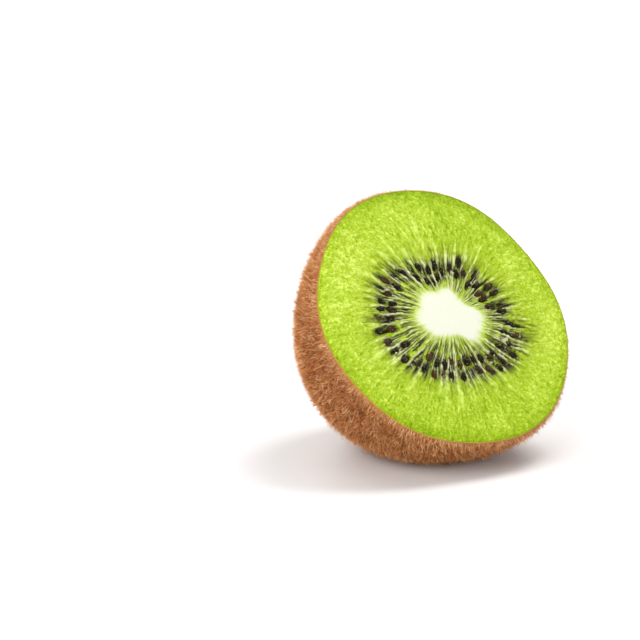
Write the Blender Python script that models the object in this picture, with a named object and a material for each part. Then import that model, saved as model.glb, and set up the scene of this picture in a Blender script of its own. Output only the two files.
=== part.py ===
"""A kiwi fruit half, cut straight across, resting on its side with the cut face turned up and forwards.

The fruit is one solid: flesh with its thin skin, the pale core that runs down its middle and shows at the
cut, and the small dark seeds that stand in a ring round the core, fused to the flesh. Its skin end carries
the dried scab where the stalk sat.

It is modelled in its own axes, cut face up and the fruit's axis along Z, and then tipped back. The origin
of the scene is the middle of the small flat spot that it rests on. Metres, +Z up, and the cut faces -Y.
"""

import math
import random

import bmesh
import bpy
from mathutils import Matrix, Vector

MM = 0.001

# The whole fruit: its size, how far the cut leans back from lying level, and the flat spot it rests on
MEAN_RADIUS = 26.2 * MM
HALF_LENGTH = 34.1 * MM
BLUNTNESS = 2.05
CUT_TILT = math.radians(55)
REST_SPOT_RADIUS = 5.8 * MM

# The outline at the cut isn't round: each lobe is (how many, how high, the direction of one of them)
OUTLINE_LOBES = (
    (2, 0.80 * MM, math.radians(-53)),
    (3, 0.37 * MM, math.radians(-41)),
    (6, 0.20 * MM, math.radians(-3)),
)

# The core shows as a rounded star, a little to the right of the middle
CORE_CENTRE = Vector((0.9 * MM, 0.0))
CORE_RADIUS = 6.15 * MM
CORE_LOBES = (
    (2, 1.20 * MM, math.radians(-23)),
    (3, 0.68 * MM, math.radians(-34)),
    (4, 0.26 * MM, math.radians(-29)),
    (6, 0.32 * MM, math.radians(4)),
    (8, 0.22 * MM, math.radians(-7)),
)

# Relief of the cut face: the core and the outer flesh swell, the seed ring sinks between its pale rays
CORE_SWELL = 0.30 * MM
FLESH_SWELL = 0.35 * MM
RING_SINK = 0.45 * MM
RAY_HEIGHT = 0.16 * MM
RIM_DROP = 0.30 * MM
LOCULES = 40

# The ring that the seeds stand in, lobed round the fruit's axis, and the seeds
RING_RADIUS = 11.4 * MM
RING_LOBES = (
    (1, 0.95 * MM, math.radians(-83)),
    (2, 1.49 * MM, math.radians(-16)),
    (3, 0.41 * MM, math.radians(-35)),
    (4, 0.43 * MM, math.radians(-37)),
    (5, 0.50 * MM, math.radians(-19)),
)
RING_HALF_WIDTH = 2.6 * MM
SEED_LENGTH = 2.25 * MM
SEED_WIDTH = 1.28 * MM
SEED_THICKNESS = 0.95 * MM
SEED_PROUD = 0.28 * MM
SIZE_SPREAD = 0.13
TURN_SPREAD = math.radians(10)
RAY_SPREAD = 0.22
LONE_SEED_SHARE = 0.30
LONE_SEED_SHIFT = 0.9
INNER_STAND = (-0.70, -0.15)
PAIR_GAP = (0.92, 1.25)
SEED_DRAW = 61805

# The skin: gentle unevenness, and the stalk's scab in its hollow at the end
SKIN_WAVE = 0.22 * MM
HOLLOW_DEPTH = 1.3 * MM
HOLLOW_RADIUS = 6.5 * MM
SCAB_HEIGHT = 1.5 * MM
SCAB_RADIUS = 3.3 * MM

# How finely the solid is divided
SEGMENTS = 3 * LOCULES
CORE_RINGS = 3
RAY_RINGS = 12
DOME_RINGS = 12
END_RINGS = 6
END_ANGLE = math.radians(77)
SEED_SIDES = 6
SEED_RINGS = 5


def clear_scene():
    """Takes every object out of the file."""
    for thing in list(bpy.data.objects):
        bpy.data.objects.remove(thing)


def lobed(phi, radius, lobes):
    """A radius with a cosine wave added for each set of lobes."""
    return radius + sum(
        height * math.cos(count * (phi - towards)) for count, height, towards in lobes
    )


def outline_point(phi):
    """Where the cut face meets the skin, in the direction phi."""
    radius = lobed(phi, MEAN_RADIUS, OUTLINE_LOBES)
    return Vector((math.cos(phi), math.sin(phi))) * radius


def core_point(phi):
    """The edge of the core, in the direction phi from its centre."""
    radius = lobed(phi, CORE_RADIUS, CORE_LOBES)
    return CORE_CENTRE + Vector((math.cos(phi), math.sin(phi))) * radius


def ring_share(point):
    """How far out in the seed ring a point of the cut lies: 0 is its middle line, and 1 its outer edge."""
    phi = math.atan2(point.y, point.x)
    return (point.length - lobed(phi, RING_RADIUS, RING_LOBES)) / RING_HALF_WIDTH


def face_height(phi, share, point):
    """The relief of the cut face: share runs along a ray, from 0 at the core's edge to 1 at the skin."""
    in_ring = math.exp(-ring_share(point) ** 2)
    rays = RAY_HEIGHT * math.cos(LOCULES * phi) * math.exp(-3.5 * max(share, 0.0))
    swell = FLESH_SWELL * math.sin(math.pi * min(share, 1.0)) ** 2
    edge = RIM_DROP * share**24
    return swell + rays * min(1.0, 12 * share) - RING_SINK * in_ring - edge


def shape_face(phi, ring):
    """The place of a vertex of the cut face: the first rings cross the core, and the rest follow the rays."""
    if ring <= CORE_RINGS:
        inward = ring / CORE_RINGS
        point = CORE_CENTRE.lerp(core_point(phi), inward)
        height = CORE_SWELL * (1 - inward**4) + inward**4 * face_height(phi, 0, point)
    else:
        share = ((ring - CORE_RINGS) / RAY_RINGS) ** 0.94
        point = core_point(phi).lerp(outline_point(phi), share)
        height = face_height(phi, share, point)
    return Vector((point.x, point.y, height))


def shape_skin(phi, ring):
    """The place of a vertex of the skin: a blunt half egg that loses the cut's lobes towards its end."""
    if ring <= DOME_RINGS:
        angle = END_ANGLE * ring / DOME_RINGS
    else:
        step = (ring - DOME_RINGS) / END_RINGS
        angle = END_ANGLE + (math.pi / 2 - END_ANGLE) * step
    girth = max(math.cos(angle), 0.0) ** (2 / BLUNTNESS)
    depth = HALF_LENGTH * math.sin(angle) ** (2 / BLUNTNESS)
    lobes = lobed(phi, 0.0, OUTLINE_LOBES) * math.cos(angle)
    wave = math.sin(3 * phi + 4 * angle) * math.sin(2 * angle)
    wave += 0.5 * math.sin(5 * phi - 7 * angle + 1) * math.sin(2 * angle)
    radius = girth * (MEAN_RADIUS + lobes) + SKIN_WAVE * wave
    ragged = 1 + 0.20 * math.sin(2 * phi) + 0.12 * math.sin(5 * phi + 1)
    scab = SCAB_HEIGHT * math.exp(-((radius / (SCAB_RADIUS * ragged)) ** 4))
    hollow = HOLLOW_DEPTH * math.exp(-((radius / HOLLOW_RADIUS) ** 2))
    rim = RIM_DROP * math.cos(angle) ** 8
    return Vector(
        (radius * math.cos(phi), radius * math.sin(phi), -depth - rim - scab + hollow)
    )


def make_body_mesh():
    """A globe whose upper rings are laid out flat as the cut face, and whose lower rings make the skin."""
    face_rings = CORE_RINGS + RAY_RINGS
    rings = face_rings + DOME_RINGS + END_RINGS
    shape = bmesh.new()
    bmesh.ops.create_uvsphere(shape, u_segments=SEGMENTS, v_segments=rings, radius=1)
    for vertex in shape.verts:
        down = math.acos(max(-1.0, min(1.0, vertex.co.z)))
        ring = round(rings * down / math.pi)
        phi = math.atan2(vertex.co.y, vertex.co.x)
        if ring <= face_rings:
            vertex.co = shape_face(phi, ring)
        else:
            vertex.co = shape_skin(phi, ring - face_rings)
    return shape


def tip_back():
    """The turn from the fruit's own axes to the way it lies."""
    return Matrix.Rotation(CUT_TILT, 3, "X")


def cut_rest_spot(shape):
    """Slices off the lowest skin level with the table, and gives the middle of the flat spot."""
    down = tip_back().inverted() @ Vector((0, 0, -1))
    lowest = max(shape.verts, key=lambda vertex: vertex.co.dot(down)).co
    slice_depth = REST_SPOT_RADIUS**2 / (2 * MEAN_RADIUS)
    place = lowest - down * slice_depth
    found = bmesh.ops.bisect_plane(
        shape,
        geom=shape.verts[:] + shape.edges[:] + shape.faces[:],
        plane_co=place,
        plane_no=down,
        clear_outer=True,
        dist=1e-7,
    )
    edges = [part for part in found["geom_cut"] if isinstance(part, bmesh.types.BMEdge)]
    bmesh.ops.contextual_create(shape, geom=edges)
    corners = {corner for edge in edges for corner in edge.verts}
    middle = sum((corner.co for corner in corners), Vector()) / len(corners)
    return middle - down * (middle - place).dot(down)


def seed_places():
    """Where each seed stands on the cut: its ray, how far out in the ring, and its share of the usual size."""
    draw = random.Random(SEED_DRAW)
    places = []
    for locule in range(LOCULES):
        middle = locule + 0.5 + draw.uniform(-RAY_SPREAD, RAY_SPREAD)
        inner = draw.uniform(*INNER_STAND)
        gap = draw.uniform(*PAIR_GAP)
        lone = draw.random() < LONE_SEED_SHARE
        shift = draw.uniform(0, LONE_SEED_SHIFT)
        sizes = [1 + draw.uniform(-SIZE_SPREAD, SIZE_SPREAD) for _ in range(2)]
        turns = [draw.gauss(0, TURN_SPREAD) for _ in range(2)]
        stands = [inner + shift] if lone else [inner, inner + gap]
        for stand, size, turn in zip(stands, sizes, turns):
            places.append((2 * math.pi * middle / LOCULES, stand, size, turn))
    return places


def point_in_ring(phi, stand):
    """The share along the ray phi at which the ring's stand is reached, found by halving."""
    near, far = 0.0, 1.0
    for _ in range(30):
        share = (near + far) / 2
        point = core_point(phi).lerp(outline_point(phi), share)
        if ring_share(point) < stand:
            near = share
        else:
            far = share
    return share, point


def make_seed(name, phi, stand, size, turn):
    """One seed: a globe drawn out into a drop, its narrow end towards the core, half sunk in the flesh."""
    share, point = point_in_ring(phi, stand)
    along = outline_point(phi) - core_point(phi)
    heading = math.atan2(along.y, along.x) + turn
    shape = bmesh.new()
    bmesh.ops.create_uvsphere(
        shape, u_segments=SEED_SIDES, v_segments=SEED_RINGS, radius=0.5
    )
    for vertex in shape.verts:
        lengthwise = vertex.co.z
        taper = 1 + 0.5 * lengthwise
        vertex.co = Vector(
            (
                lengthwise * SEED_LENGTH * size,
                vertex.co.x * SEED_WIDTH * size * taper,
                vertex.co.y * SEED_THICKNESS * size * taper,
            )
        )
    mesh = bpy.data.meshes.new(name)
    shape.to_mesh(mesh)
    shape.free()
    bed = face_height(phi + math.pi / LOCULES, share, point)
    seed = bpy.data.objects.new(name, mesh)
    seed.location = (point.x, point.y, bed + SEED_PROUD - SEED_THICKNESS * size / 2)
    seed.rotation_euler = (0, 0, heading)
    return seed


def plain_material(name, colour, roughness):
    """A Principled BSDF of one colour, with colour as linear red, green and blue."""
    material = bpy.data.materials.new(name)
    material.use_nodes = True
    shader = material.node_tree.nodes["Principled BSDF"]
    shader.inputs["Base Color"].default_value = (*colour, 1)
    shader.inputs["Roughness"].default_value = roughness
    shader.inputs["Metallic"].default_value = 0
    return material


def paint_body(mesh):
    """Skin round the outside, flesh on the cut, and the core's own pale colour inside its edge."""
    mesh.materials.append(plain_material("skin", (0.24, 0.10, 0.035), 0.85))
    mesh.materials.append(plain_material("flesh", (0.45, 0.68, 0.05), 0.35))
    mesh.materials.append(plain_material("core", (0.90, 0.93, 0.66), 0.45))
    for face in mesh.polygons:
        phi = math.atan2(face.center.y - CORE_CENTRE.y, face.center.x - CORE_CENTRE.x)
        middle = Vector(face.center.xy)
        in_core = (middle - CORE_CENTRE).length < (core_point(phi) - CORE_CENTRE).length
        on_cut = face.center.z > -RIM_DROP - RING_SINK and face.normal.z > 0.5
        face.material_index = (2 if in_core else 1) if on_cut else 0


def fuse(body, pieces):
    """Joins the seeds to the body with one Boolean union, applies it and clears the seeds away."""
    union = body.modifiers.new("fuse_seeds", "BOOLEAN")
    union.operation = "UNION"
    union.operand_type = "COLLECTION"
    union.collection = pieces
    union.solver = "EXACT"
    graph = bpy.context.evaluated_depsgraph_get()
    joined = bpy.data.meshes.new_from_object(body.evaluated_get(graph))
    body.modifiers.clear()
    body.data = joined
    for piece in list(pieces.objects):
        bpy.data.objects.remove(piece)
    bpy.data.collections.remove(pieces)


def make_kiwi_half():
    """Builds the half, fuses its seeds and lays it on its rest spot."""
    fruit = bpy.data.collections.new("kiwi_fruit_half")
    bpy.context.scene.collection.children.link(fruit)
    shape = make_body_mesh()
    rest_middle = cut_rest_spot(shape)
    bmesh.ops.recalc_face_normals(shape, faces=shape.faces[:])
    mesh = bpy.data.meshes.new("kiwi_half")
    shape.to_mesh(mesh)
    shape.free()
    paint_body(mesh)
    body = bpy.data.objects.new("kiwi_half", mesh)
    fruit.objects.link(body)

    seeds = bpy.data.collections.new("seeds")
    bpy.context.scene.collection.children.link(seeds)
    dark = plain_material("seed", (0.020, 0.012, 0.010), 0.3)
    for number, (phi, stand, size, turn) in enumerate(seed_places()):
        seed = make_seed(f"seed_{number:02d}", phi, stand, size, turn)
        seed.data.materials.append(dark)
        seeds.objects.link(seed)
    body.data.materials.append(dark)
    fuse(body, seeds)

    body.rotation_euler = (CUT_TILT, 0, 0)
    body.location = -(tip_back() @ rest_middle)
    body.data.shade_smooth()
    body.data.set_sharp_from_angle(angle=math.radians(40))
    return body


clear_scene()
make_kiwi_half()
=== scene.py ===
"""The looks of a kiwi fruit half that was cut straight across: wet green flesh round a pale core, dark seeds
in a ring, and a thin brown skin under short fuzz, with the dried scab of the stalk at its far end.

Each piece is worked out in the fruit's own axes, in millimetres, with the cut in the XY plane facing +Z and
phi the direction round the fruit. It is then laid down as the solid lies, in metres.
"""

import math
import random

import bpy
import numpy as np
from mathutils import Euler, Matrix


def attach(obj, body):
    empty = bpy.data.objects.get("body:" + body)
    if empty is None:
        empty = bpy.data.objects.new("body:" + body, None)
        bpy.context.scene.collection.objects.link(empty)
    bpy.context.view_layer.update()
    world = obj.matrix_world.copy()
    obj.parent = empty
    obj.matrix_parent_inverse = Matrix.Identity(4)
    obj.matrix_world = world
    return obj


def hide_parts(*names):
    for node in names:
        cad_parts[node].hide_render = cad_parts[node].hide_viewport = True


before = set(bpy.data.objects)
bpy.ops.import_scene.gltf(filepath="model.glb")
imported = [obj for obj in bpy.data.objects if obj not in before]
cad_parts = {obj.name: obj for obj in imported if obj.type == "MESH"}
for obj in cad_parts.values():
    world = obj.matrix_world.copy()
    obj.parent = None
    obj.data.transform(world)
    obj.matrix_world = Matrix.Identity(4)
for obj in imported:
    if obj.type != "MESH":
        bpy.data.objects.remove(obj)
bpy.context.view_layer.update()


# The flesh is one moist body under the skin: pale in the core, and green outside it, with thin pale rays
# running out between the seed pockets. A knife left it almost flat, a little sunk where the seeds stand and
# finely beaded with juice cells, so it is wet, grainy and slightly see-through.

# The outline across the cut, the skin's depth below it, and the stalk's hollow and scab at the far end. A
# lobe is its count round the fruit, its height, and the direction of its first crest in degrees.
MEAN_RADIUS = 26.2
OUTLINE_LOBES = ((2, 0.80, -53), (3, 0.37, -41), (6, 0.20, -3))
HALF_LENGTH = 34.1
BLUNTNESS = 2.05
SKIN_WAVE = 0.22
HOLLOW_DEPTH = 1.3
HOLLOW_RADIUS = 6.5
SCAB_HEIGHT = 1.5
SCAB_RADIUS = 3.3

# The core and the seed ring, and how many seed chambers lie round it.
CORE_CENTRE = (0.9, 0.0)
CORE_RADIUS = 6.15
CORE_LOBES = ((2, 1.20, -23), (3, 0.68, -34), (4, 0.26, -29), (6, 0.32, 4), (8, 0.22, -7))
CORE_TONGUE_SIDE = math.radians(302)
RING_RADIUS = 11.4
RING_LOBES = ((1, 0.95, -83), (2, 1.49, -16), (3, 0.41, -35), (4, 0.43, -37), (5, 0.50, -19))
RING_HALF_WIDTH = 2.6
LOCULES = 40

# The cut's broad relief, as on the solid.
CORE_SWELL = 0.30
FLESH_SWELL = 0.35
RING_SINK = 0.45
RAY_HEIGHT = 0.16
RIM_DROP = 0.30

# Its fine relief, which only the looks have.
BEAD_HEIGHT = 0.05
FIBRE_HEIGHT = 0.03
PALE_RAY_HEIGHT = 0.14
DARK_DEPTH = 0.18
FLECK_HEIGHT = 0.08
PATCH_HEIGHT = 0.06

# How far inside the skin's outside the flesh ends at the cut, and how much further at the far end.
SKIN_THICKNESS = 0.16
HIDDEN_INSET = 2.0

# The rule for the seeds, as on the solid. They stand in half widths of the ring from its middle.
SIZE_SPREAD = 0.13
TURN_SPREAD = math.radians(10)
RAY_SPREAD = 0.22
LONE_SEED_SHARE = 0.30
LONE_SEED_SHIFT = 0.9
INNER_STAND = (-0.70, -0.15)
PAIR_GAP = (0.92, 1.25)
SEED_DRAW = 61805
POCKET_LENGTH = 1.35
POCKET_WIDTH = 0.78

# The pale rays: the radius that each reaches, how pale it is, its width in the ring, and what that gains
# outside it.
RAYS_A_LOCULE = 3
WIDE_RAY = {"reach": (16.5, 21.5), "strength": (0.70, 1.0), "thread": 0.18, "wedge": (0.16, 0.38)}
THIN_RAY = {"reach": (13.5, 19.0), "strength": (0.35, 0.85), "thread": 0.13, "wedge": (0.08, 0.24)}

# Where painted light makes the green paler on one side, where it is paler at two opposite ends, and where
# its rim is darker, as directions in radians. The rim's spread is in radians too, and its width in
# millimetres.
PAINTED_LIGHT_SIDE = 1.9
PALE_ENDS = 2.75
DARK_RIM_SIDE = 1.4
DARK_RIM_SPREAD = 0.6
DARK_RIM_WIDTH = 3.0

# Columns round the cut and rows across it.
FLESH_COLUMNS = 840
CORE_ROWS = 8
RAY_ROWS = 98
HIDDEN_ROWS = 6

# How the half lies: tipped back from level, with the middle of its cut at this place.
CUT_TILT = math.radians(55)
CUT_PLACE = (-1.527, -7.945, 28.439)

# One run of random numbers gives every piece its unevenness.
chance = np.random.default_rng(7)


def lobed(phi, radius, lobes):
    """The radius, plus each lobe's height times the cosine of its count times phi less its direction."""
    return radius + sum(
        height * np.cos(count * (phi - np.radians(towards))) for count, height, towards in lobes
    )


def cut_point(phi, share, inset=0.0):
    """A point of the cut, as x and y. Share 0 is the core's edge, 1 the outline less the inset, and -1 the
    core's centre; between them it runs straight."""
    core = lobed(phi, CORE_RADIUS, CORE_LOBES)
    core_x = CORE_CENTRE[0] + core * np.cos(phi)
    core_y = CORE_CENTRE[1] + core * np.sin(phi)
    outline = lobed(phi, MEAN_RADIUS, OUTLINE_LOBES) - inset
    outward = np.clip(share, 0, 1)
    inward = np.clip(-share, 0, 1)
    x = core_x + (outline * np.cos(phi) - core_x) * outward + (CORE_CENTRE[0] - core_x) * inward
    y = core_y + (outline * np.sin(phi) - core_y) * outward + (CORE_CENTRE[1] - core_y) * inward
    return x, y


def ring_share(x, y):
    """How far out in the seed ring a point lies: its radius less the ring's, over the ring's half width."""
    phi = np.arctan2(y, x)
    return (np.hypot(x, y) - lobed(phi, RING_RADIUS, RING_LOBES)) / RING_HALF_WIDTH


def cut_height(phi, share, x, y):
    """The cut's broad relief: a swell along each ray, ridges that fade outwards, a bell-shaped dip along the
    seed ring, and a drop at the rim. The core is a low dome."""
    outward = np.clip(share, 0, 1)
    swell = FLESH_SWELL * np.sin(np.pi * outward) ** 2
    rays = RAY_HEIGHT * np.cos(LOCULES * phi) * np.exp(-3.5 * outward) * np.minimum(1, 12 * outward)
    dip = RING_SINK * np.exp(-ring_share(x, y) ** 2)
    flesh = swell + rays - dip - RIM_DROP * outward**24
    out_of_core = (1 + np.clip(share, -1, 0)) ** 4
    return CORE_SWELL * (1 - out_of_core) + out_of_core * flesh


def dome_point(phi, angle, inset=0.0):
    """A point of the skin: a blunt half egg whose girth is a power of the cosine of the angle below the cut
    and whose depth is a power of its sine. It keeps less of the outline's lobes towards its end, waves a
    little, and has a hollow with the scab's lump in the middle of the end. An inset moves it inwards."""
    girth = np.maximum(np.cos(angle), 0) ** (2 / BLUNTNESS)
    depth = HALF_LENGTH * np.sin(angle) ** (2 / BLUNTNESS)
    lobes = lobed(phi, 0.0, OUTLINE_LOBES) * np.cos(angle)
    wave = np.sin(3 * phi + 4 * angle) * np.sin(2 * angle)
    wave = wave + 0.5 * np.sin(5 * phi - 7 * angle + 1) * np.sin(2 * angle)
    radius = girth * (MEAN_RADIUS + lobes) + SKIN_WAVE * wave
    scab = SCAB_HEIGHT * np.exp(-((radius / (SCAB_RADIUS * scab_outline(phi))) ** 4))
    hollow = HOLLOW_DEPTH * np.exp(-((radius / HOLLOW_RADIUS) ** 2))
    radius = radius - inset * np.cos(angle)
    z = hollow - scab - depth - RIM_DROP * np.cos(angle) ** 8 + inset * np.sin(angle)
    return np.stack((radius * np.cos(phi), radius * np.sin(phi), z), axis=-1)


def scab_outline(phi):
    """The scab's ragged outline, as a share of its radius: one plus two sine waves."""
    return 1 + 0.20 * np.sin(2 * phi) + 0.12 * np.sin(5 * phi + 1)


def seed_places():
    """Where each seed stands: its direction, how far out in the ring, its share of the usual size, and its
    turn off that direction. A chamber holds a lone seed or a pair, one behind the other."""
    draw = random.Random(SEED_DRAW)
    places = []
    for locule in range(LOCULES):
        middle = locule + 0.5 + draw.uniform(-RAY_SPREAD, RAY_SPREAD)
        inner = draw.uniform(*INNER_STAND)
        gap = draw.uniform(*PAIR_GAP)
        lone = draw.random() < LONE_SEED_SHARE
        shift = draw.uniform(0, LONE_SEED_SHIFT)
        sizes = [1 + draw.uniform(-SIZE_SPREAD, SIZE_SPREAD) for _ in range(2)]
        turns = [draw.gauss(0, TURN_SPREAD) for _ in range(2)]
        stands = [inner + shift] if lone else [inner, inner + gap]
        for stand, size, turn in zip(stands, sizes, turns):
            places.append((2 * math.pi * middle / LOCULES, stand, size, turn))
    return places


def seed_share(phi, stand):
    """The share of the way from the core to the outline at which a ray reaches that place in the ring."""
    shares = np.linspace(0, 1, 2001)
    return shares[np.argmax(ring_share(*cut_point(phi, shares)) >= stand)]


def seed_spots():
    """Each seed's x and y on the cut, the direction that it points in, and its share of the usual size."""
    for phi, stand, size, turn in seed_places():
        start, end = np.array(cut_point(phi, 0.0)), np.array(cut_point(phi, 1.0))
        way = end - start
        yield (*cut_point(phi, seed_share(phi, stand)), math.atan2(way[1], way[0]) + turn, size)


def grain(shape, along, across):
    """Random heights blurred over so many rows and columns, wrapping round, with a spread of one."""
    rows = np.fft.fftfreq(shape[0])[:, None]
    columns = np.fft.fftfreq(shape[1])[None, :]
    blur = np.exp(-2 * (np.pi * along * rows) ** 2 - 2 * (np.pi * across * columns) ** 2)
    heights = np.fft.ifft2(np.fft.fft2(chance.normal(size=shape)) * blur).real
    return heights / heights.std()


def laid(points):
    """Fruit millimetres to the solid's axes: turned back about X by the tilt, moved to the cut's place,
    pressed flat where it meets the table, and in metres."""
    sine, cosine = math.sin(CUT_TILT), math.cos(CUT_TILT)
    x, y, z = np.moveaxis(np.asarray(points, dtype=float), -1, 0)
    turned = np.stack((x, y * cosine - z * sine, y * sine + z * cosine), axis=-1) + CUT_PLACE
    turned[..., 2] = np.maximum(turned[..., 2], 0)
    return turned / 1000


def round_faces(rows, columns):
    """The triangles and quads of a closed form: a start point, rows of points that each go once round, and
    an end point, numbered in that order."""
    here = 1 + np.arange(columns)
    following = 1 + (np.arange(columns) + 1) % columns
    step = np.arange(rows - 1)[:, None] * columns
    quads = np.stack(
        (here + step, here + step + columns, following + step + columns, following + step), axis=-1
    ).reshape(-1, 4)
    last = (rows - 1) * columns
    first_fan = np.stack((np.zeros_like(here), here, following), axis=-1)
    end = np.full_like(here, 1 + rows * columns)
    last_fan = np.stack((end, following + last, here + last), axis=-1)
    return np.concatenate((first_fan, last_fan)), quads


def laid_mesh(name, points, triangles, quads):
    """A smooth mesh of fruit points, laid down as the solid lies."""
    mesh = bpy.data.meshes.new(name)
    mesh.from_pydata(laid(points.reshape(-1, 3)), [], triangles.tolist() + quads.tolist())
    mesh.shade_smooth()
    return mesh


def round_mesh(name, start, rings, end):
    """A closed mesh from a start point, rings of points and an end point."""
    points = np.concatenate((start[None], rings.reshape(-1, 3), end[None]))
    return laid_mesh(name, points, *round_faces(*rings.shape[:2]))


def keep_values(mesh, **values):
    """Stores each named array on the mesh's points, for the material to read."""
    for name, value in values.items():
        kept = mesh.attributes.new(name, "FLOAT", "POINT")
        kept.data.foreach_set("value", np.ascontiguousarray(value, dtype=np.float32))


def ray_pattern(phi, girth, radius, place):
    """How pale each point is, from 0 to 1: for every ray a bell curve across it that fades out at the ray's
    reach. A ray is a thread as far as the seed ring's outer part, and widens from there. The palest ray
    counts."""
    pale = np.zeros(np.broadcast(phi, girth).shape)
    rays = RAYS_A_LOCULE * LOCULES
    for number in range(rays):
        kind = WIDE_RAY if number % RAYS_A_LOCULE == 0 else THIN_RAY
        at = 2 * np.pi * (number + chance.uniform(-0.4, 0.4)) / rays
        reach = chance.uniform(*kind["reach"])
        strength = chance.uniform(*kind["strength"])
        thread = kind["thread"] * chance.uniform(0.75, 1.25)
        wedge = chance.uniform(*kind["wedge"])
        bend = chance.normal(0, 0.004)
        gap = (phi - at - bend * (radius - 10) + np.pi) % (2 * np.pi) - np.pi
        width = thread + wedge / (1 + np.exp((0.75 - place) / 0.22))
        fade = 1 / (1 + np.exp((radius - reach) / 1.2))
        pale = np.maximum(pale, strength * fade * np.exp(-((gap * girth / width) ** 2)))
    return pale


def seed_shade(x, y):
    """How near each point lies to a seed, from 0 to 1: a flat-topped bell round an oval that is as long and
    wide as the seed's pocket."""
    shade = np.zeros(x.shape)
    for seed_x, seed_y, heading, size in seed_spots():
        along = (x - seed_x) * np.cos(heading) + (y - seed_y) * np.sin(heading)
        across = (y - seed_y) * np.cos(heading) - (x - seed_x) * np.sin(heading)
        away = (along / (POCKET_LENGTH * size)) ** 2 + (across / (POCKET_WIDTH * size)) ** 2
        shade = np.maximum(shade, np.exp(-(away**2)))
    return shade


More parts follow.
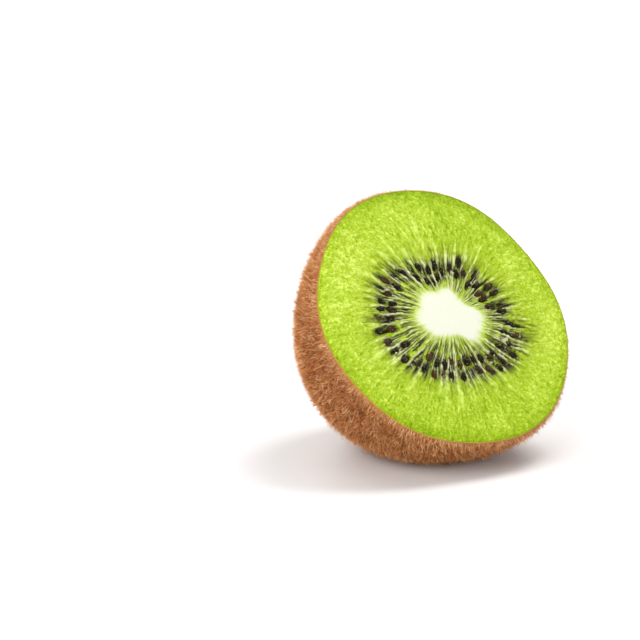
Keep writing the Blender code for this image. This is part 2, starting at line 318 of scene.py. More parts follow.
def make_flesh_mesh():
    """The cut face from the core's centre out to the skin, then the hidden side, ever deeper under the skin.
    Its points keep what the material paints: how pale, dark and light green they are, how far out in the
    ring, how much of the core, and how far from the edge."""
    phi = np.arange(FLESH_COLUMNS) * 2 * np.pi / FLESH_COLUMNS
    inward = -1 + (np.arange(CORE_ROWS) + 1) / CORE_ROWS
    outward = (np.arange(RAY_ROWS) + 1) / RAY_ROWS
    share = np.concatenate((inward, outward))[:, None] * np.ones_like(phi)
    x, y = cut_point(phi, share, SKIN_THICKNESS)
    radius = np.hypot(x, y)
    in_ring = ring_share(x, y)
    core_girth = lobed(phi, CORE_RADIUS, CORE_LOBES)
    flesh_width = lobed(phi, MEAN_RADIUS, OUTLINE_LOBES) - core_girth
    girth = core_girth + flesh_width * np.clip(share, 0, 1)
    edge = flesh_width * (1 - np.clip(share, 0, 1))

    # The rays, with wavering sides, broken by streaks past the ring and half covered by jelly inside it.
    wobble = (0.07 * grain(share.shape, 3.5, 9.0) + 0.04 * grain(share.shape, 1.5, 2.5)) / girth
    pale = ray_pattern(phi + wobble, girth, radius, in_ring)
    outside = np.clip((share + 0.02) / 0.04, 0, 1)
    beads = grain(share.shape, 0.75, 0.8)
    patches = grain(share.shape, 5.0, 4.0)
    streaks = grain(share.shape, 7.0, 1.1)
    fibres = grain(share.shape, 2.4, 0.9)
    flecks = grain(share.shape, 1.1, 2.2)
    past_ring = 1 / (1 + np.exp((0.85 - in_ring) / 0.2))
    frayed = (0.4 + 0.6 * past_ring) * np.clip(0.30 - 0.36 * streaks - 0.15 * fibres, 0, 0.9)
    covered = np.exp(-(((in_ring + 0.1) / 0.9) ** 2)) * np.clip(0.05 - 0.30 * patches, 0, 0.75)
    pale = np.clip(pale * (0.84 + 0.32 * flecks) * (1 - frayed) * (1 - covered), 0, 1)
    band = 1 / (1 + np.exp(-(in_ring + 1.15) / 0.20)) / (1 + np.exp((in_ring - 0.80) / 0.16))
    # Pale specks in the ring's band are painted highlights, the glints of its wet jelly.
    pale = np.maximum(pale, band * np.clip(0.45 * flecks - 0.38, 0, 0.7))
    gap = 1 - pale

    # The dark jelly between the rays, the darkest of five: the ring's band, spikes that run out of it, a
    # faint shade beyond them, a shade inside the ring, and the pockets round the seeds.
    spikes = np.exp(-((np.maximum(in_ring - 0.7, 0) / 0.75) ** 2)) * (in_ring > 0)
    beyond = np.exp(-((np.maximum(in_ring - 0.9, 0) / 1.7) ** 2)) * (in_ring > 0)
    inner = np.clip((-0.9 - in_ring) / 0.3, 0, 1) * np.clip(0.35 + share / 0.13, 0, 1.15)
    pockets = seed_shade(x + 0.16 * patches + 0.07 * flecks, y + 0.16 * fibres)
    dark = band * (0.44 + 0.22 * patches + 0.18 * streaks + 0.22 * flecks) * (0.10 + 0.90 * gap)
    dark = np.maximum(dark, spikes * gap**2 * np.clip(0.44 + 0.42 * streaks + 0.18 * flecks, 0, 0.95))
    dark = np.maximum(dark, beyond * gap**2 * np.clip(0.16 + 0.08 * fibres, 0, 0.4))
    dark = np.maximum(dark, inner * gap * np.clip(0.40 + 0.20 * streaks + 0.10 * flecks, 0, 0.75))
    dark = np.maximum(dark, pockets * (0.82 + 0.22 * flecks) * (0.30 + 0.70 * gap))
    dark = np.clip(dark, 0, 1) * outside

    # The green's tone: juice cells, fibres round the ring and broad clouds, painted light that makes one
    # side paler, paler ends and a darker rim.
    clouds = grain(share.shape, 14.0, 12.0)
    tone = 0.5 + 0.08 * beads + 0.07 * fibres * np.exp(-(((radius - 16) / 8) ** 2)) + 0.02 * patches
    tone = tone + 0.02 * clouds + 0.03 * np.cos(phi - PAINTED_LIGHT_SIDE) + 0.05 * np.cos(2 * (phi - PALE_ENDS))
    dark_rim = np.exp(-edge / DARK_RIM_WIDTH) * np.exp(-(((phi - DARK_RIM_SIDE) / DARK_RIM_SPREAD) ** 2))
    tone = tone - 0.16 * dark_rim

    # The height: the solid's, and the fine relief, which fades out in the core and at the skin.
    height = cut_height(phi, share, x, y)
    fine = outside * np.clip((1 - share) / 0.03, 0, 1)
    beaded = BEAD_HEIGHT * beads + FIBRE_HEIGHT * fibres
    height = height + fine * (beaded + PALE_RAY_HEIGHT * pale * np.exp(-2 * share) - DARK_DEPTH * dark)
    height = height + fine * band * (FLECK_HEIGHT * flecks + PATCH_HEIGHT * patches)
    cut = np.stack((x, y, height), axis=-1)

    angles = np.linspace(0.02, 1.5, HIDDEN_ROWS)[:, None] * np.ones_like(phi)
    side = dome_point(phi, angles, SKIN_THICKNESS + HIDDEN_INSET * np.sin(angles))
    rings = np.concatenate((cut, side))
    far_end = dome_point(0.0, np.pi / 2, SKIN_THICKNESS + HIDDEN_INSET)
    mesh = round_mesh("cut_flesh", np.array((*CORE_CENTRE, CORE_SWELL)), rings, far_end)

    # The core's pale colour spreads a little along the rays, and furthest into its tongue.
    tongue = np.exp(-(((phi - CORE_TONGUE_SIDE) / 0.13) ** 2))
    spread = 0.06 * pale + 0.055 * tongue + 0.02 * np.cos(5 * phi + 0.7) + 0.014 * patches
    hidden = np.zeros(side.shape[:2])

    def whole(values, start, side_value):
        """The cut's values with one before them for the start, and one value for the hidden side."""
        return np.concatenate(([start], values.ravel(), (hidden + side_value).ravel(), [side_value]))

    keep_values(
        mesh,
        pale=whole(pale * outside, 0, 0),
        dark=whole(dark, 0, 0),
        tone=whole(np.clip(tone, 0, 1), 0.5, 0.5),
        ring_place=whole(np.clip(in_ring, -3, 3), 0, 3),
        core=whole(1 - np.clip((share - spread + 0.17) / 0.24, 0, 1), 1, 0),
        edge=whole(edge, 20, 0),
    )
    return mesh


def linear(colour):
    """An sRGB hex colour as linear red, green and blue, with an alpha of one."""
    parts = np.array([int(colour[i : i + 2], 16) for i in (1, 3, 5)]) / 255
    parts = np.where(parts <= 0.04045, parts / 12.92, ((parts + 0.055) / 1.055) ** 2.4)
    return (*parts.tolist(), 1.0)


def add(tree, kind, inputs, stops=(), **settings):
    """Adds a node, changes its settings, places a ramp's stops, and sets or links its inputs."""
    node = tree.nodes.new(kind)
    for name, value in settings.items():
        setattr(node, name, value)
    for number, (place, colour) in enumerate(stops):
        elements = node.color_ramp.elements
        stop = elements[number] if number < 2 else elements.new(place)
        stop.position = place
        stop.color = linear(colour)
    for socket, value in inputs.items():
        if isinstance(value, bpy.types.NodeSocket):
            tree.links.new(value, node.inputs[socket])
        else:
            node.inputs[socket].default_value = value
    return node


def new_material(name):
    """A material of that name with only its Principled BSDF and output, as (material, tree, shader)."""
    material = bpy.data.materials.new(name)
    material.use_nodes = True
    return material, material.node_tree, material.node_tree.nodes["Principled BSDF"]


def per_mm(size):
    """The texture scale, in object metres, that gives a pattern of that many millimetres."""
    return 1000 / size


def make_flesh_material():
    """Ripe green kiwi flesh, freshly cut and wet: grainy juice cells about 0.3 mm across, a thin film of
    juice that glints, painted glints in the seed ring, painted light on one side, and light that enters and
    spreads a little."""
    material, tree, shader = new_material("wet_kiwi_flesh")
    place = add(tree, "ShaderNodeTexCoord", {}).outputs["Object"]

    def value(name):
        return add(tree, "ShaderNodeAttribute", {}, attribute_name=name).outputs["Fac"]

    pale, dark, ring_place = value("pale"), value("dark"), value("ring_place")
    core, edge = value("core"), value("edge")
    cells = add(
        tree,
        "ShaderNodeTexNoise",
        {"Vector": place, "Scale": per_mm(0.28), "Detail": 2.0, "Roughness": 0.6},
    ).outputs["Fac"]
    # The tone also holds painted light that makes one side of the green paler.
    mottle = add(
        tree, "ShaderNodeMix", {0: 0.5, 2: cells, 3: value("tone")}, data_type="FLOAT"
    ).outputs[0]
    green = add(
        tree,
        "ShaderNodeValToRGB",
        {"Fac": mottle},
        stops=((0.34, "#7E9E0C"), (0.66, "#D8EA6E"), (0.45, "#9CB920"), (0.54, "#B0C93A")),
    ).outputs["Color"]
    pocket = add(
        tree,
        "ShaderNodeValToRGB",
        {"Fac": dark},
        stops=(
            (0.0, "#A0BE24"),
            (1.0, "#0B0A03"),
            (0.12, "#8CA21C"),
            (0.25, "#768420"),
            (0.5, "#4C5422"),
            (0.75, "#26280F"),
        ),
    ).outputs["Color"]
    is_dark = add(
        tree, "ShaderNodeMapRange", {"Value": dark, "From Min": 0.02, "From Max": 0.18}
    ).outputs["Result"]
    shaded = add(
        tree, "ShaderNodeMix", {0: is_dark, 6: green, 7: pocket}, data_type="RGBA"
    ).outputs[2]
    along_ray = add(
        tree, "ShaderNodeMapRange", {"Value": ring_place, "From Min": -3.0, "From Max": 3.0}
    ).outputs["Result"]
    # The rays and the painted highlights in the ring's band both take this pale colour.
    ray_and_glint_colour = add(
        tree,
        "ShaderNodeValToRGB",
        {"Fac": along_ray},
        stops=(
            (0.0, "#D2DC8C"),
            (0.85, "#CCDF66"),
            (0.3, "#D2D998"),
            (0.5, "#D2D2AC"),
            (0.66, "#CED894"),
        ),
    ).outputs["Color"]
    ray_and_glint_amount = add(
        tree,
        "ShaderNodeMapRange",
        {"Value": pale, "From Min": 0.12, "From Max": 0.86, "To Max": 0.98},
    ).outputs["Result"]
    rayed_and_glinted = add(
        tree, "ShaderNodeMix", {0: ray_and_glint_amount, 6: shaded, 7: ray_and_glint_colour}, data_type="RGBA"
    ).outputs[2]
    core_colour = add(
        tree,
        "ShaderNodeValToRGB",
        {"Fac": core},
        stops=((0.2, "#BCCA6E"), (1.0, "#D9DAC9"), (0.6, "#D2D8AC")),
    ).outputs["Color"]
    cored = add(
        tree, "ShaderNodeMix", {0: core, 6: rayed_and_glinted, 7: core_colour}, data_type="RGBA"
    ).outputs[2]
    rim_green = add(
        tree,
        "ShaderNodeValToRGB",
        {"Fac": mottle},
        stops=((0.34, "#668602"), (0.66, "#C8E03C"), (0.45, "#86A406"), (0.54, "#9AB812")),
    ).outputs["Color"]
    rim_amount = add(
        tree,
        "ShaderNodeMapRange",
        {"Value": edge, "From Min": 2.4, "From Max": 0.1, "To Max": 0.85},
    ).outputs["Result"]
    rimmed = add(
        tree, "ShaderNodeMix", {0: rim_amount, 6: cored, 7: rim_green}, data_type="RGBA"
    ).outputs[2]
    tree.links.new(rimmed, shader.inputs["Base Color"])

    fine = add(
        tree,
        "ShaderNodeTexNoise",
        {"Vector": place, "Scale": per_mm(0.22), "Detail": 1.0},
    ).outputs["Fac"]
    relief = add(tree, "ShaderNodeMix", {0: 0.5, 2: cells, 3: fine}, data_type="FLOAT").outputs[0]
    calm = add(
        tree, "ShaderNodeMapRange", {"Value": core, "To Min": 1.0, "To Max": 0.15}
    ).outputs["Result"]
    bump = add(
        tree,
        "ShaderNodeBump",
        {"Strength": calm, "Distance": 0.00030, "Height": relief},
    ).outputs["Normal"]
    tree.links.new(bump, shader.inputs["Normal"])
    tree.links.new(bump, shader.inputs["Coat Normal"])
    shader.inputs["Roughness"].default_value = 0.45
    shader.inputs["IOR"].default_value = 1.38
    shader.inputs["Specular IOR Level"].default_value = 0.06
    shader.inputs["Coat Weight"].default_value = 0.22
    shader.inputs["Coat Roughness"].default_value = 0.05
    shader.inputs["Coat IOR"].default_value = 1.34
    shader.inputs["Subsurface Weight"].default_value = 0.20
    shader.inputs["Subsurface Radius"].default_value = (1.0, 1.0, 0.25)
    shader.inputs["Subsurface Scale"].default_value = 0.0003
    return material


def finished(mesh, material, replaces=False):
    """Links the mesh as a piece that rides on the fruit and takes its finish from that slot. The flesh
    stands for the solid."""
    piece = bpy.data.objects.new(mesh.name, mesh)
    bpy.context.scene.collection.objects.link(piece)
    mesh.materials.append(material)
    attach(piece, "root")
    if replaces:
        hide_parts("kiwi_half")


finished(make_flesh_mesh(), make_flesh_material(), replaces=True)


# The seeds are hard drops a little over two millimetres long, dark brown to black, their narrow ends
# towards the core. Each is sunk by more than half in its pocket of jelly, which leaves its coat wet. They
# stand by the same seeded rule as the solid's.

SEED_LENGTH = 2.25
SEED_WIDTH = 1.28
SEED_THICKNESS = 0.95
SEED_PROUD = 0.28
SEED_SINK = 0.42
SEED_SIDES = 20
SEED_ROWS = 11


def seed_points(phi, stand, size, turn):
    """One seed's points: its tip towards the core, rings, and its other tip. Its girth is a globe's, times
    one plus half the way along from its middle, so it narrows towards the core."""
    share = seed_share(phi, stand)
    x, y = cut_point(phi, share)
    start_x, start_y = cut_point(phi, 0.0)
    end_x, end_y = cut_point(phi, 1.0)
    heading = math.atan2(end_y - start_y, end_x - start_x) + turn
    turns = np.arange(SEED_SIDES) * 2 * np.pi / SEED_SIDES
    tilt = (np.arange(SEED_ROWS) + 1)[:, None] * np.pi / (SEED_ROWS + 1)
    along = -0.5 * np.cos(tilt) * np.ones_like(turns)
    girth = 0.5 * np.sin(tilt) * (1 + 0.5 * along)
    forward = along * SEED_LENGTH * size
    sideways = girth * np.cos(turns) * SEED_WIDTH * size
    upward = girth * np.sin(turns) * SEED_THICKNESS * size
    bed = cut_height(phi + math.pi / LOCULES, share, x, y)
    lift = bed + SEED_PROUD - SEED_THICKNESS * size / 2 - SEED_SINK * chance.uniform() ** 2
    cosine, sine = math.cos(heading), math.sin(heading)

    tip = 0.5 * SEED_LENGTH * size
    forward = np.concatenate(([-tip], forward.ravel(), [tip]))
    sideways = np.concatenate(([0], sideways.ravel(), [0]))
    upward = np.concatenate(([0], upward.ravel(), [0]))
    seed_x = x + forward * cosine - sideways * sine
    seed_y = y + forward * sine + sideways * cosine
    return np.stack((seed_x, seed_y, lift + upward), axis=-1)


def make_seeds_mesh():
    """All the seeds in one mesh, each point keeping its seed's tone."""
    points = np.stack([seed_points(*place) for place in seed_places()])
    firsts = np.arange(len(points))[:, None, None] * points.shape[1]
    triangles, quads = round_faces(SEED_ROWS, SEED_SIDES)
    triangles = (triangles + firsts).reshape(-1, 3)
    quads = (quads + firsts).reshape(-1, 4)
    seeds = laid_mesh("seeds", points, triangles, quads)
    seeds.flip_normals()
    keep_values(seeds, tone=np.repeat(chance.uniform(size=len(points)), points.shape[1]))
    return seeds


def make_seed_material():
    """A kiwi seed's hard coat, wet from its pocket: dark brown to black, finely pitted, with small sharp
    lights and here and there a film of the pocket's jelly."""
    material, tree, shader = new_material("wet_seed_coat")
    place = add(tree, "ShaderNodeTexCoord", {}).outputs["Object"]
    tone = add(tree, "ShaderNodeAttribute", {}, attribute_name="tone").outputs["Fac"]
    colour = add(
        tree,
        "ShaderNodeValToRGB",
        {"Fac": tone},
        stops=((0.0, "#0E0A03"), (1.0, "#42240E"), (0.45, "#181004"), (0.75, "#281A08")),
    ).outputs["Color"]
    pits = add(
        tree, "ShaderNodeTexVoronoi", {"Vector": place, "Scale": per_mm(0.22)}
    ).outputs["Distance"]
    pale_film = add(
        tree, "ShaderNodeTexNoise", {"Vector": place, "Scale": per_mm(0.35), "Detail": 2.0}
    ).outputs["Fac"]
    film = add(
        tree,
        "ShaderNodeMapRange",
        {"Value": pale_film, "From Min": 0.56, "From Max": 0.72, "To Max": 0.6},
    ).outputs["Result"]
    filmed = add(
        tree, "ShaderNodeMix", {0: film, 6: colour, 7: linear("#7C7A48")}, data_type="RGBA"
    ).outputs[2]
    tree.links.new(filmed, shader.inputs["Base Color"])
    bump = add(
        tree, "ShaderNodeBump", {"Strength": 0.9, "Distance": 0.00006, "Height": pits}
    ).outputs["Normal"]
    tree.links.new(bump, shader.inputs["Normal"])
    shader.inputs["Roughness"].default_value = 0.40
    shader.inputs["IOR"].default_value = 1.5
    shader.inputs["Specular IOR Level"].default_value = 0.05
    shader.inputs["Specular Tint"].default_value = (1.0, 0.9, 0.5, 1.0)
    shader.inputs["Coat Tint"].default_value = (1.0, 0.95, 0.6, 1.0)
    shader.inputs["Coat Weight"].default_value = 0.12
    shader.inputs["Coat Roughness"].default_value = 0.05
    return material


finished(make_seeds_mesh(), make_seed_material())


# The skin is a thin dry rind of brown papery leather, grown onto the flesh. Its cut edge shows as a fine
# line round the face, a sixth of a millimetre wide.

SKIN_COLUMNS = 400
SKIN_ROWS = 84
LIP_ROWS = 3
LIP_RISE = 0.04
INNER_INSET = 0.6
CUT_TINT_REACH = 1.2
FINE_ROUGHNESS = 0.03
BROAD_ROUGHNESS = 0.05


def make_skin_mesh():
    """A closed shell: up the inside from its end, over the lip at the cut, which is a half round, and down
    the outside. It is thicker away from the lip, where its inside doesn't show."""
    phi = np.arange(SKIN_COLUMNS) * 2 * np.pi / SKIN_COLUMNS
    level = np.ones_like(phi)
    angles = np.linspace(0.0, 1.555, SKIN_ROWS)[:, None] * level
    inner_angles = angles[:0:-2]
    inner = dome_point(phi, inner_angles, SKIN_THICKNESS + INNER_INSET * np.sin(inner_angles))
    over = np.linspace(0, np.pi, LIP_ROWS + 2)[1:-1, None]
    middle = dome_point(phi, 0.0 * level, SKIN_THICKNESS / 2)
    outwards = np.stack((np.cos(phi), np.sin(phi), 0 * phi), axis=-1)
    lip = middle - outwards * (np.cos(over) * SKIN_THICKNESS / 2)[..., None]
    lip[..., 2] += (np.sin(over) * LIP_RISE) * level
    outer = dome_point(phi, angles)
    rough = grain(outer.shape[:2], 1.5, 1.5) * FINE_ROUGHNESS
    rough = rough + grain(outer.shape[:2], 6, 6) * BROAD_ROUGHNESS
    below_lip = np.linspace(0, 1, SKIN_ROWS)[:, None] ** 0.3
    outer = outer * (1 + (rough / MEAN_RADIUS * below_lip)[..., None])
    rings = np.concatenate((inner, lip, outer))
    start = dome_point(0.0, np.pi / 2, SKIN_THICKNESS + INNER_INSET)
    end = dome_point(0.0, np.pi / 2)
    mesh = round_mesh("skin", start, rings, end)
    depth = -np.concatenate(([start[2]], rings[..., 2].ravel(), [end[2]]))
    on_lip = np.zeros(rings.shape[:2])
    on_lip[len(inner) : len(inner) + LIP_ROWS] = 1
    keep_values(
        mesh,
        near_cut=np.exp(-np.maximum(depth, 0) / CUT_TINT_REACH),
        on_lip=np.concatenate(([0], on_lip.ravel(), [0])),
    )
    return mesh


def make_skin_material():
    """Dry kiwi skin: brown, papery and matt, mottled over a few millimetres, warmer where it was cut."""
    material, tree, shader = new_material("dry_kiwi_skin")
    place = add(tree, "ShaderNodeTexCoord", {}).outputs["Object"]
    mottle = add(
        tree, "ShaderNodeTexNoise", {"Vector": place, "Scale": per_mm(2.2), "Detail": 4.0}
    ).outputs["Fac"]
    colour = add(
        tree,
        "ShaderNodeValToRGB",
        {"Fac": mottle},
        stops=((0.3, "#5E3014"), (0.7, "#9A5E2C"), (0.5, "#7A451C")),
    ).outputs["Color"]
    near_cut = add(tree, "ShaderNodeAttribute", {}, attribute_name="near_cut").outputs["Fac"]
    tinted = add(
        tree, "ShaderNodeMix", {0: near_cut, 6: colour, 7: linear("#BE8436")}, data_type="RGBA"
    ).outputs[2]
    on_lip = add(tree, "ShaderNodeAttribute", {}, attribute_name="on_lip").outputs["Fac"]
    lipped = add(
        tree, "ShaderNodeMix", {0: on_lip, 6: tinted, 7: linear("#9C962A")}, data_type="RGBA"
    ).outputs[2]
    tree.links.new(lipped, shader.inputs["Base Color"])
    crinkle = add(
        tree, "ShaderNodeTexNoise", {"Vector": place, "Scale": per_mm(0.5), "Detail": 3.0}
    ).outputs["Fac"]
    bump = add(
        tree, "ShaderNodeBump", {"Strength": 0.7, "Distance": 0.0002, "Height": crinkle}
    ).outputs["Normal"]
    tree.links.new(bump, shader.inputs["Normal"])
    shader.inputs["Roughness"].default_value = 0.8
    shader.inputs["IOR"].default_value = 1.45
    return material


finished(make_skin_mesh(), make_skin_material())


# The fuzz is what a kiwi is known by: short stiff hairs all over the skin, a millimetre or two long, brown
# at the root and lighter at the tip, and mostly combed towards the cut. Hairs this thin wouldn't show, so
# they are drawn about twice as thick as real ones and fewer.

FUZZ_KINDS = {
    "fuzz_short": {
        "count": 48000,
        "length": (0.6, 1.15),
        "width": 0.10,
        "lean": 0.8,
        "comb": 0.8,
        "bent": False,
    },
    "fuzz_lying": {
        "count": 19500,
        "length": (1.0, 1.7),
        "width": 0.11,
        "lean": 1.0,
        "comb": 0.9,
        "bent": True,
    },
    "fuzz_stray": {
        "count": 11000,
        "length": (1.2, 2.3),
        "width": 0.10,
        "lean": 0.7,
        "comb": 0.3,
        "bent": True,
    },
    "fuzz_fine": {
        "count": 45000,
        "length": (0.8, 1.4),
        "width": 0.08,
        "lean": 0.8,
        "comb": 0.7,
        "bent": False,
    },
}
CUT_REACH = 2.0
BARE_HEIGHT = 0.25
ROOT_DEPTH = 0.05
KNEE = 0.55
PAST_KNEE = 0.5


def clumps(points):
    """A smooth random field with a spread of one: the sum of waves a few millimetres long, each in its own
    random direction."""
    ways = chance.normal(size=(3, 24))
    ways *= 2 * np.pi / chance.uniform(2.5, 8.0, 24) / np.linalg.norm(ways, axis=0)
    return np.sin(points @ ways + chance.uniform(0, 2 * np.pi, 24)).sum(axis=-1) / np.sqrt(12)


def skin_roots(count):
    """Random points of the skin, evenly by area and clear of the table and the scab, with the outward normal
    and the way round at each."""
    rows, columns = 120, 360
    angle = np.linspace(0.004, 1.5, rows)[:, None]
    phi = np.linspace(0, 2 * np.pi, columns + 1)[None, :]
    points = dome_point(phi, angle * np.ones_like(phi))
    down = points[1:, :-1] - points[:-1, :-1]
    aside = points[:-1, 1:] - points[:-1, :-1]
    across = np.cross(aside, down)
    area = np.linalg.norm(across, axis=-1)
    picked = chance.choice(area.size, size=count, p=area.ravel() / area.sum())
    row, column = np.unravel_index(picked, area.shape)
    u, v = chance.uniform(size=(2, count, 1))
    root = points[row, column] + u * down[row, column] + v * aside[row, column]
    normal = -across[row, column] / area[row, column][:, None]
    round_way = aside[row, column] / np.linalg.norm(aside[row, column], axis=-1)[:, None]
    off_scab = np.hypot(root[:, 0], root[:, 1]) > SCAB_RADIUS
    clear = (laid(root)[:, 2] > BARE_HEIGHT / 1000) & (off_scab | (root[:, 2] > -HALF_LENGTH / 2))
    return root[clear], normal[clear], round_way[clear]


def make_fuzz_mesh(name, count, length, width, lean, comb, bent):
    """Thin three-sided spikes. Each rises along the skin's normal plus a random sideways lean and the comb
    towards the cut, and a bent one has a knee from which it leans further. Near the cut they are shorter and
    lie back from it. The map holds a hair's tone across and its height upwards."""
    root, normal, round_way = skin_roots(count)
    count = len(root)
    along_way = np.cross(normal, round_way)
    turn = chance.uniform(0, 2 * np.pi, count)[:, None]
    sideways = round_way * np.cos(turn) + along_way * np.sin(turn)
    amount = lean * chance.uniform(0.3, 1.2, count)[:, None]
    size = chance.uniform(*length, count)[:, None]
    thick = width / 2 * chance.uniform(0.75, 1.25, count)[:, None]
    near_cut = np.exp(root[:, 2:] / CUT_REACH)
    size = size * (1 - 0.5 * near_cut)
    cutward = np.array((0, 0, 1)) - normal * normal[:, 2:]
    backward = near_cut * np.array((0, 0, -1.2)) + comb * (1 - near_cut) * cutward
    first = normal + sideways * amount * (1 - 0.6 * near_cut) + backward
    first /= np.linalg.norm(first, axis=-1)[:, None]
    second = normal + sideways * amount * 2 * (1 - 0.6 * near_cut) + backward * 1.5
    second /= np.linalg.norm(second, axis=-1)[:, None]
    heights = (0.0, KNEE, 1.0) if bent else (0.0, 1.0)
    middles = [root - ROOT_DEPTH * normal]
    if bent:
        middles.append(root + first * size * KNEE)
        middles.append(middles[-1] + second * size * PAST_KNEE)
    else:
        middles.append(middles[-1] + first * size)
    side_a = np.cross(first, normal + 0.31 * round_way + 0.17 * along_way)
    side_a /= np.linalg.norm(side_a, axis=-1)[:, None]
    side_b = np.cross(first, side_a)
    levels = []
    for level, middle in enumerate(middles[:-1]):
        wide = thick * (1 - 0.35 * heights[level])
        for corner in range(3):
            around = 2 * np.pi * corner / 3
            levels.append(middle + wide * (side_a * np.cos(around) + side_b * np.sin(around)))
    levels.append(middles[-1])
    points = np.stack(levels, axis=1)
    tip = points.shape[1] - 1
    faces = [(0, 2, 1)]
    for level in range(0, tip - 3, 3):
        for corner in range(3):
            other = (corner + 1) % 3
            a, b = level + corner, level + other
            faces += [(a, b, b + 3), (a, b + 3, a + 3)]
    faces += [(tip - 3 + corner, tip - 3 + (corner + 1) % 3, tip) for corner in range(3)]
    faces = np.array(faces)
    all_faces = (np.arange(count)[:, None, None] * points.shape[1] + faces).reshape(-1, 3)
    mesh = bpy.data.meshes.new(name)
    mesh.from_pydata(laid(points.reshape(-1, 3)), [], all_faces)
    # Hairs near the cut are lighter, partly their golden colour there and partly a painted highlight along
    # the rim.
    tone = chance.beta(1.6, 2.0, count) + 0.10 * clumps(root) + 0.15 * near_cut[:, 0]
    tone = np.repeat(np.clip(tone, 0, 1), len(faces) * 3)
    height = np.array([heights[level // 3] if level < tip else 1.0 for level in range(tip + 1)])
    upward = np.tile(height[faces].ravel(), count)
    fuzz_map = mesh.uv_layers.new(name="OFBake")
    corners = 0.02 + 0.96 * np.stack((tone, upward), axis=-1)
    fuzz_map.data.foreach_set("uv", corners.ravel())
    return mesh


def make_fuzz_material():
    """Dry plant hair: matt brown bristle, each hair in its own tone from brown to a bleached light tan,
    lighter near the cut where a painted highlight runs along the rim, and darker at its root."""
    material, tree, shader = new_material("dry_brown_bristle")
    fuzz_map = add(tree, "ShaderNodeUVMap", {}, uv_map="OFBake").outputs["UV"]
    parts = add(tree, "ShaderNodeSeparateXYZ", {"Vector": fuzz_map})
    tone = add(
        tree,
        "ShaderNodeValToRGB",
        {"Fac": parts.outputs["X"]},
        stops=((0.0, "#8A4E24"), (1.0, "#F4D2A4"), (0.3, "#C47C44"), (0.65, "#E6AE74")),
    ).outputs["Color"]
    root = add(
        tree,
        "ShaderNodeMapRange",
        {"Value": parts.outputs["Y"], "From Max": 0.6, "To Min": 0.5, "To Max": 0.0},
    ).outputs["Result"]
    colour = add(
        tree, "ShaderNodeMix", {0: root, 6: tone, 7: linear("#8C4E24")}, data_type="RGBA"
    ).outputs[2]
    tree.links.new(colour, shader.inputs["Base Color"])
    shader.inputs["Roughness"].default_value = 0.75
    shader.inputs["IOR"].default_value = 1.5
    shader.inputs["Specular IOR Level"].default_value = 0.2
    return material


bristle = make_fuzz_material()
for name, kind in FUZZ_KINDS.items():
    finished(make_fuzz_mesh(name, **kind), bristle)


# The scab is where the stalk came off: a dry, crumpled, almost black button that sits in the hollow at the
# fruit's end.

SCAB_COLUMNS = 140
SCAB_ROWS = 22
SCAB_THICKNESS = 0.25
SCAB_DEPTH = 0.6


def make_scab_mesh():
    """A crumpled cap over the lump at the end, with ragged edges that sink into the skin: the skin's depth
    there, plus a thickness that falls off at the edge, plus random and wavy crumples."""
    phi = np.arange(SCAB_COLUMNS) * 2 * np.pi / SCAB_COLUMNS
    share = ((np.arange(SCAB_ROWS) + 1) / SCAB_ROWS)[:, None] * np.ones_like(phi)
    frayed = 1 + 0.10 * np.sin(9 * phi + 2) + 0.06 * np.sin(17 * phi)
    radius = share * SCAB_RADIUS * scab_outline(phi) * frayed
    girth = radius / MEAN_RADIUS
    depth = HALF_LENGTH * (1 - np.minimum(girth, 1) ** BLUNTNESS) ** (1 / BLUNTNESS)
    lump = SCAB_HEIGHT * np.exp(-((radius / (SCAB_RADIUS * scab_outline(phi))) ** 4))
    hollow = HOLLOW_DEPTH * np.exp(-((radius / HOLLOW_RADIUS) ** 2))
    crumple = 0.16 * grain(share.shape, 2, 3) + 0.10 * np.sin(11 * phi + 3 * share) * share
    proud = SCAB_THICKNESS * np.clip((1 - share) / 0.15, 0, 1) + crumple * np.sin(np.pi * share)
    z = hollow - depth - lump - proud
    top = np.stack((radius * np.cos(phi), radius * np.sin(phi), z), axis=-1)
    under = top[::-1] * (0.97, 0.97, 1) + (0, 0, SCAB_DEPTH)
    centre = np.array((0, 0, z[0].mean()))
    mesh = round_mesh("stalk_scab", centre, np.concatenate((top, under)), centre + (0, 0, SCAB_DEPTH))
    mesh.flip_normals()
    return mesh


def make_scab_material():
    """Dead dry plant tissue: very dark brown, rough, with greyer worn ridges."""
    material, tree, shader = new_material("dry_scab_tissue")
    place = add(tree, "ShaderNodeTexCoord", {}).outputs["Object"]
    worn = add(
        tree, "ShaderNodeTexNoise", {"Vector": place, "Scale": per_mm(0.7), "Detail": 4.0}
    ).outputs["Fac"]
    colour = add(
        tree,
        "ShaderNodeValToRGB",
        {"Fac": worn},
        stops=((0.35, "#1E110A"), (0.75, "#6A472E"), (0.55, "#3A2316")),
    ).outputs["Color"]
    tree.links.new(colour, shader.inputs["Base Color"])
    bump = add(
        tree, "ShaderNodeBump", {"Strength": 0.8, "Distance": 0.0003, "Height": worn}
    ).outputs["Normal"]
    tree.links.new(bump, shader.inputs["Normal"])
    shader.inputs["Roughness"].default_value = 0.85
    return material


finished(make_scab_mesh(), make_scab_material())


# The table is a plain white sheet under soft studio light, and the camera looks down on the half from its
# left at the photograph's angle.

FLOOR_SIZE = 6.0
CAMERA_AZIMUTH = math.radians(-32.5)
CAMERA_ELEVATION = math.radians(14)
CAMERA_DISTANCE = 0.6
FRAME_PIXELS = 640
PIXELS_PER_MM = 5.26
CUT_CENTRE_IN_PHOTO = (444.5, 316.0)
FRUIT_MIDDLE = (0, 0, 0.02)
WORLD_STRENGTH = 0.42


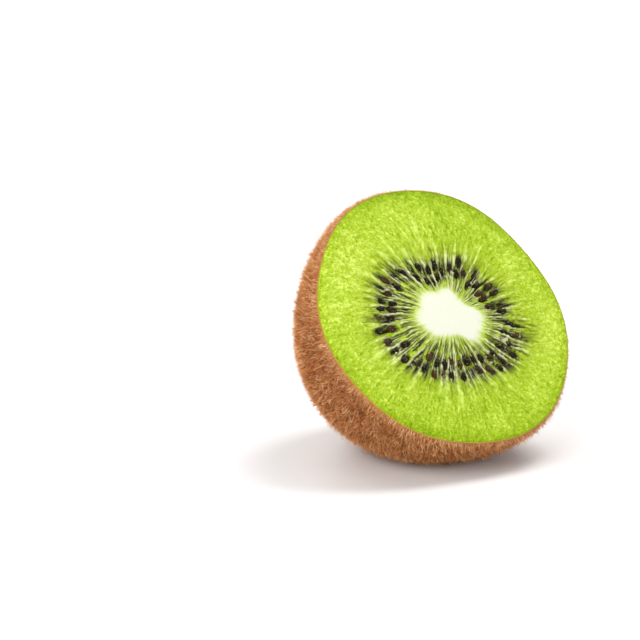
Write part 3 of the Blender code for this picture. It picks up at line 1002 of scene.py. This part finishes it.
def make_floor():
    """A large square that lies at the height of the rest spot."""
    half = FLOOR_SIZE / 2
    corners = [(-half, -half, 0), (half, -half, 0), (half, half, 0), (-half, half, 0)]
    mesh = bpy.data.meshes.new("table")
    mesh.from_pydata(corners, [], [(0, 1, 2, 3)])
    material, tree, shader = new_material("white_studio_sheet")
    shader.inputs["Base Color"].default_value = linear("#F6F5F4")
    shader.inputs["Roughness"].default_value = 0.35
    mesh.materials.append(material)
    floor = bpy.data.objects.new("table", mesh)
    bpy.context.scene.collection.objects.link(floor)


def make_light(name, size, power, place, aim):
    """A square soft box at a place, in metres, facing its aim."""
    light = bpy.data.lights.new(name, "AREA")
    light.size = size
    light.energy = power
    lamp = bpy.data.objects.new(name, light)
    bpy.context.scene.collection.objects.link(lamp)
    lamp.location = place
    way = np.subtract(aim, place)
    lamp.rotation_euler = (
        math.acos(-way[2] / np.linalg.norm(way)),
        0,
        math.atan2(-way[0], way[1]),
    )


def make_camera():
    """A long lens whose scale at the cut's centre is the photograph's, aimed so that the centre lands on its
    pixel there."""
    lens = bpy.data.cameras.new("camera")
    lens.sensor_width = 36.0
    focal_pixels = PIXELS_PER_MM * CAMERA_DISTANCE * 1000
    lens.lens = focal_pixels * lens.sensor_width / FRAME_PIXELS
    aside = math.atan2(CUT_CENTRE_IN_PHOTO[0] - FRAME_PIXELS / 2, focal_pixels)
    below = math.atan2(CUT_CENTRE_IN_PHOTO[1] - FRAME_PIXELS / 2, focal_pixels)
    back = np.array(
        (
            math.sin(CAMERA_AZIMUTH) * math.cos(CAMERA_ELEVATION),
            -math.cos(CAMERA_AZIMUTH) * math.cos(CAMERA_ELEVATION),
            math.sin(CAMERA_ELEVATION),
        )
    )
    camera = bpy.data.objects.new("camera", lens)
    bpy.context.scene.collection.objects.link(camera)
    camera.location = np.array(CUT_PLACE) / 1000 + back * CAMERA_DISTANCE
    level = Euler((math.pi / 2 - CAMERA_ELEVATION, 0, CAMERA_AZIMUTH)).to_matrix()
    camera.rotation_euler = (level @ Euler((below, aside, 0)).to_matrix()).to_euler()
    bpy.context.scene.camera = camera


make_floor()
make_light("overhead", 1.0, 27.2, (0.90, 0.05, 1.80), FRUIT_MIDDLE)
make_light("left_window", 2.0, 42.0, (-1.75, -0.45, 0.85), FRUIT_MIDDLE)
make_light("front_fill", 1.0, 9.0, (1.10, -1.50, 0.50), FRUIT_MIDDLE)
make_light("back_sheet", 2.4, 48.0, (-0.2, 2.60, 2.20), (0, 1.6, 0))
make_camera()

world = bpy.data.worlds.new("white_room")
world.use_nodes = True
background = world.node_tree.nodes["Background"]
background.inputs["Color"].default_value = (1, 1, 1, 1)
background.inputs["Strength"].default_value = WORLD_STRENGTH
bpy.context.scene.world = world
bpy.context.scene.view_settings.view_transform = "Standard"
